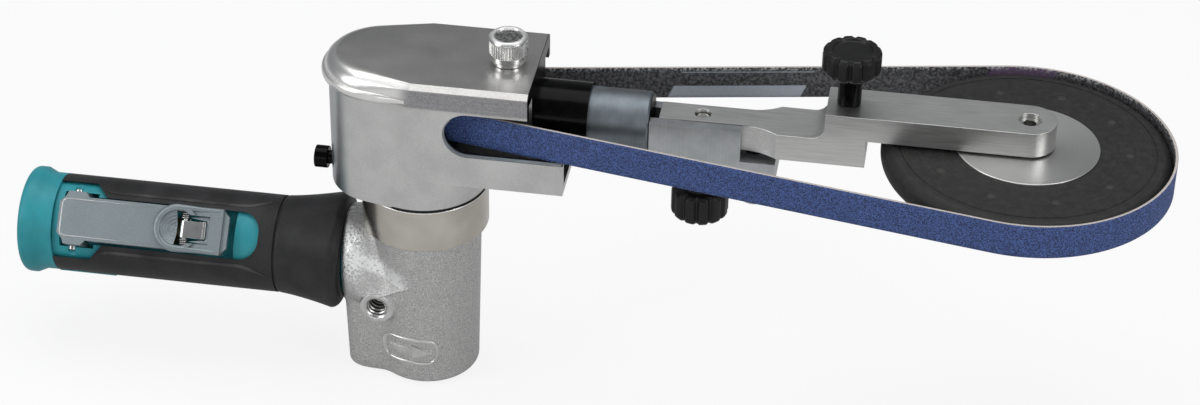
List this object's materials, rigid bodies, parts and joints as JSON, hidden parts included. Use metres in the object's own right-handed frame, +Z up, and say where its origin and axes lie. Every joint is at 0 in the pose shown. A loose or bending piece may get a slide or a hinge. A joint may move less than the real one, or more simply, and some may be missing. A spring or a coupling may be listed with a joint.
{
  "type": "power file",
  "caption": "Right-angle air-powered belt file: a motor with a side grip and thumb lever drives a narrow abrasive belt round a large contact wheel on a slim, tensioned arm.",
  "frame": {"origin": "centre of the flat motor base, on the motor axis", "axes": "+Z up the motor axis to the belt housing, +X along the arm towards the contact wheel, -X along the grip"},
  "size_m": [0.4206, 0.104, 0.1509],
  "materials": {
    "cast_aluminium": "fine sandblasted casting",
    "polished_aluminium": "brushed and polished casting",
    "satin_aluminium": "satin machined",
    "blued_steel": "fine turned and ground",
    "nickel": "satin nickel plate",
    "steel": "machined",
    "bearing_steel": "ground",
    "spring_steel": "drawn wire",
    "black_oxide": "black oxide with an oil sheen",
    "knurled_steel": "plated, knurled rim",
    "black_plastic": "moulded, low sheen",
    "tyre_rubber": "ground hard rubber",
    "grip_rubber": "matte moulded rubber",
    "teal_composite": "moulded composite",
    "abrasive_cloth": "blue grain on black cloth",
    "felt": "pressed felt",
    "brass": "turned",
    "lever_steel": "blasted stamped steel",
    "latch_steel": "bright stamped steel",
    "blade_resin": "layered resin"
  },
  "bodies": {
    "motor": {"motor_housing": "cast_aluminium", "lock_collar": "nickel", "cylinder_liner": "steel", "lower_end_plate": "steel", "upper_end_plate": "steel", "lower_bearing": "bearing_steel", "upper_bearing": "bearing_steel", "shaft_seal": "grip_rubber", "handle_coupling": "steel", "handle_core": "teal_composite", "hand_guard": "grip_rubber", "grip_sleeve": "grip_rubber", "end_cap": "teal_composite", "exhaust_felt": "felt", "inlet_bushing": "brass", "lever_pin": "steel", "valve_bush": "brass", "valve_spring": "spring_steel"},
    "rotor": {"rotor": "steel", "rotor_blades": "blade_resin", "drive_wheel_core": "steel", "drive_wheel_tyre": "tyre_rubber", "drive_wheel_screw": "steel"},
    "head": {"belt_housing": "polished_aluminium", "clamp_screw": "black_oxide", "guide_tube": "black_oxide", "tension_spring": "spring_steel", "abrasive_belt": "abrasive_cloth"},
    "tension_lock": {"tension_lock_knob": "knurled_steel"},
    "slide": {"tension_fork": "blued_steel", "tracking_spring": "spring_steel", "tracking_screw": "steel"},
    "tracking": {"tracking_knob": "black_plastic", "tracking_stud": "steel"},
    "arm": {"contact_arm": "satin_aluminium", "wheel_axle": "steel", "axle_spacer": "steel"},
    "arm_knob": {"arm_knob": "black_plastic", "arm_knob_sleeve": "black_oxide", "arm_knob_stud": "steel"},
    "wheel": {"wheel_hub": "satin_aluminium", "wheel_tyre": "tyre_rubber", "wheel_bearings": "bearing_steel", "bearing_spacer": "steel"},
    "lever": {"throttle_lever": "lever_steel", "latch_pin": "steel", "latch_spring": "spring_steel"},
    "latch": {"lock_off_latch": "latch_steel"},
    "valve": {"valve_stem": "steel"}
  },
  "joints": [
    {"name": "head_swivel", "type": "hinge", "parent": "motor", "child": "head", "pos_m": [0, 0, 0.0803], "axis": [0, 0, 1], "range_deg": [-180, 180]},
    {"name": "rotor_spin", "type": "hinge", "parent": "motor", "child": "rotor", "pos_m": [0, 0, 0.04], "axis": [0, 0, 1], "continuous": true},
    {"name": "tension_slide", "type": "slide", "parent": "head", "child": "slide", "axis": [1, 0, 0], "range_m": [-0.009, 0], "stiffness_N_per_m": 1500, "springref_m": 0.012, "deforming": ["tension_spring", "abrasive_belt"]},
    {"name": "tension_lock_turn", "type": "hinge", "parent": "head", "child": "tension_lock", "pos_m": [0.031, 0, 0.133], "axis": [0, 0, 1], "range_deg": [0, 90]},
    {"name": "tracking_tilt", "type": "hinge", "parent": "slide", "child": "arm", "pos_m": [0.0898, 0, 0.10865], "axis": [0, 1, 0], "range_deg": [-0.75, 0.75], "deforming": ["tracking_spring"]},
    {"name": "tracking_turn", "type": "hinge", "parent": "slide", "child": "tracking", "pos_m": [0.1009, 0, 0.09], "axis": [0, 0, 1], "range_deg": [-90, 90]},
    {"name": "arm_knob_turn", "type": "hinge", "parent": "arm", "child": "arm_knob", "pos_m": [0.152, 0, 0.129], "axis": [0, 0, 1], "range_deg": [-180, 180]},
    {"name": "contact_wheel_spin", "type": "hinge", "parent": "arm", "child": "wheel", "pos_m": [0.215, 0, 0.11305], "axis": [0, 0, 1], "continuous": true},
    {"name": "throttle", "type": "hinge", "parent": "motor", "child": "lever", "pos_m": [-0.1314, -0.00919, 0.05171], "axis": [0, 0.6428, 0.766], "range_deg": [0, 6], "stiffness_Nm_per_rad": 2, "springref_deg": -5.73},
    {"name": "lock_off", "type": "hinge", "parent": "lever", "child": "latch", "pos_m": [-0.0882, -0.01379, 0.05557], "axis": [0, 0.6428, 0.766], "range_deg": [0, 25], "stiffness_Nm_per_rad": 0.02, "springref_deg": -11.46},
    {"name": "valve_slide", "type": "slide", "parent": "motor", "child": "valve", "axis": [0, 0.766, -0.6428], "range_m": [0, 0.0038], "deforming": ["valve_spring"]}
  ],
  "couplings": [
    {"joint": "rotor_spin", "follows": "contact_wheel_spin", "ratio": 4.5766},
    {"joint": "tracking_turn", "follows": "tracking_tilt", "ratio": 120},
    {"joint": "valve_slide", "follows": "throttle", "m_per_rad": 0.0362}
  ]
}
